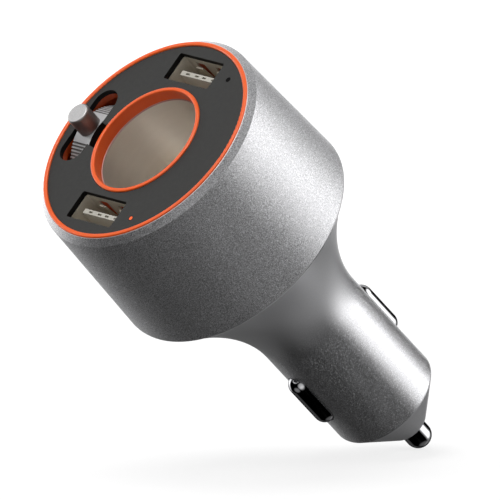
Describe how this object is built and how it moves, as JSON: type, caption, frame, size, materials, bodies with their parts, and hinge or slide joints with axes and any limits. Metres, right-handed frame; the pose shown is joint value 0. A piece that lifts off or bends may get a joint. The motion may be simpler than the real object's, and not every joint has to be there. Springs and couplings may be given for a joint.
{
  "type": "car usb charger plug",
  "caption": "Metal car charger plug with a flared neck and a wide round head; its face holds a lighter socket, charging ports, small lights and a tilting lever.",
  "frame": {"origin": "on the plug's axis, at the leading end of the barrel, where the nose cap begins", "axes": "+Z along the plug's axis towards the face, +X through the right-hand port and side contact, +Y through the lever"},
  "size_m": [0.047, 0.047, 0.0932],
  "materials": {
    "shell_metal": "bead-blasted silver",
    "contact_chrome": "polished",
    "spring_steel": "plain",
    "orange_plastic": "satin orange",
    "plate_plastic": "fine matt dark grey",
    "socket_steel": "satin, warm grey",
    "insulator_plastic": "plain",
    "contact_brass": "plated",
    "orange_lens": "clear orange",
    "dark_lens": "smoked",
    "lever_metal": "satin silver",
    "magnet_metal": "nickel plated",
    "black_plastic": "plain",
    "fuse_glass": "clear",
    "red_wire": "insulated",
    "board_green": "solder mask",
    "capacitor_can": "plain",
    "port_steel": "plated",
    "port_plastic": "off-white"
  },
  "bodies": {
    "root": {"board_screws": "spring_steel", "capacitors": "capacitor_can", "chassis": "orange_plastic", "contact_carrier": "insulator_plastic", "converter_chip": "black_plastic", "face_plate": "plate_plastic", "feed_wire": "red_wire", "friction_pad": "black_plastic", "fuse_caps": "spring_steel", "fuse_contact": "contact_brass", "fuse_glass": "fuse_glass", "ground_pin": "contact_brass", "head_board": "board_green", "head_shell": "shell_metal", "inductor": "black_plastic", "led_chips": "port_plastic", "lever_axle": "spring_steel", "light_pipe_left": "orange_lens", "light_pipe_right": "dark_lens", "nose_cap": "shell_metal", "plug_body": "shell_metal", "position_sensor": "black_plastic", "side_spring_left": "spring_steel", "side_spring_right": "spring_steel", "socket_base": "insulator_plastic", "socket_contact": "contact_brass", "socket_sleeve": "socket_steel", "supply_wire": "red_wire", "tip_spring": "spring_steel", "usb_contacts_left": "contact_brass", "usb_contacts_right": "contact_brass", "usb_shell_left": "port_steel", "usb_shell_right": "port_steel", "usb_tongue_left": "port_plastic", "usb_tongue_right": "port_plastic"},
    "lever": {"lever_drum": "lever_metal", "lever_knob": "lever_metal", "lever_magnet": "magnet_metal"},
    "tip": {"tip_contact": "contact_chrome"},
    "contact_left": {"side_contact_left": "contact_chrome"},
    "contact_right": {"side_contact_right": "contact_chrome"}
  },
  "joints": [
    {"name": "lever_tilt", "type": "hinge", "parent": "root", "child": "lever", "pos_m": [0, 0.0159, 0.0667], "axis": [0, 1, 0], "range_deg": [-28, 28]},
    {"name": "tip_press", "type": "slide", "parent": "root", "child": "tip", "axis": [0, 0, 1], "range_m": [0, 0.003], "stiffness_N_per_m": 1500, "springref_m": -0.003, "deforming": ["tip_spring"]},
    {"name": "contact_left_press", "type": "slide", "parent": "root", "child": "contact_left", "axis": [1, 0, 0], "range_m": [0, 0.0014], "stiffness_N_per_m": 1500, "springref_m": -0.0015, "deforming": ["side_spring_left"]},
    {"name": "contact_right_press", "type": "slide", "parent": "root", "child": "contact_right", "axis": [-1, 0, 0], "range_m": [0, 0.0014], "stiffness_N_per_m": 1500, "springref_m": -0.0015, "deforming": ["side_spring_right"]}
  ]
}
